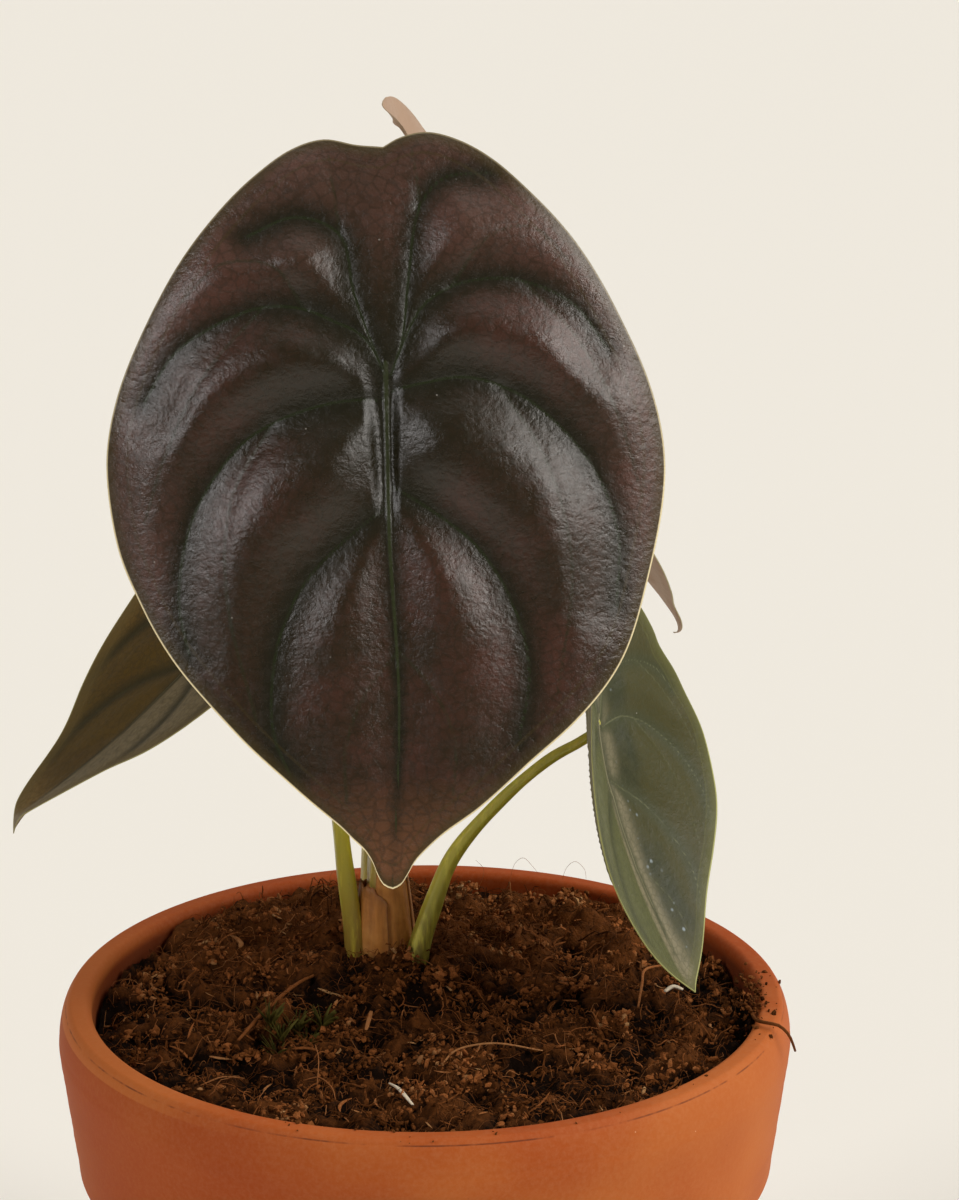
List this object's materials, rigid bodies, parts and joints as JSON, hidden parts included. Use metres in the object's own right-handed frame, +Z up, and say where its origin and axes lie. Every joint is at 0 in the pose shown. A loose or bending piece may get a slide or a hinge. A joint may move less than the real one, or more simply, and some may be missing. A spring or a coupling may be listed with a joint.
{
  "type": "potted red secret alocasia",
  "caption": "Young aroid house plant with quilted copper-brown leaves on arching stalks, in a plain terracotta pot of potting mix.",
  "frame": {"origin": "on the surface that the pot stands on, under the middle of the whole plant's box", "axes": "+Z up; -Y towards the front, where the big leaf hangs; +X to the right as seen from the front"},
  "size_m": [0.152, 0.17, 0.287],
  "materials": {
    "terracotta": "matte",
    "potting_mix": "matte",
    "sheath": "matte",
    "stalk": "satin",
    "copper_blade": "gloss",
    "olive_blade": "satin",
    "young_blade": "satin"
  },
  "bodies": {
    "root": {"pot": "terracotta", "soil": "potting_mix", "crown_sheath": "sheath", "petiole_front": "stalk", "petiole_left": "stalk", "petiole_right": "stalk", "petiole_back": "stalk", "blade_front": "copper_blade", "blade_left": "olive_blade", "blade_right": "young_blade", "blade_back": "copper_blade"}
  },
  "joints": []
}
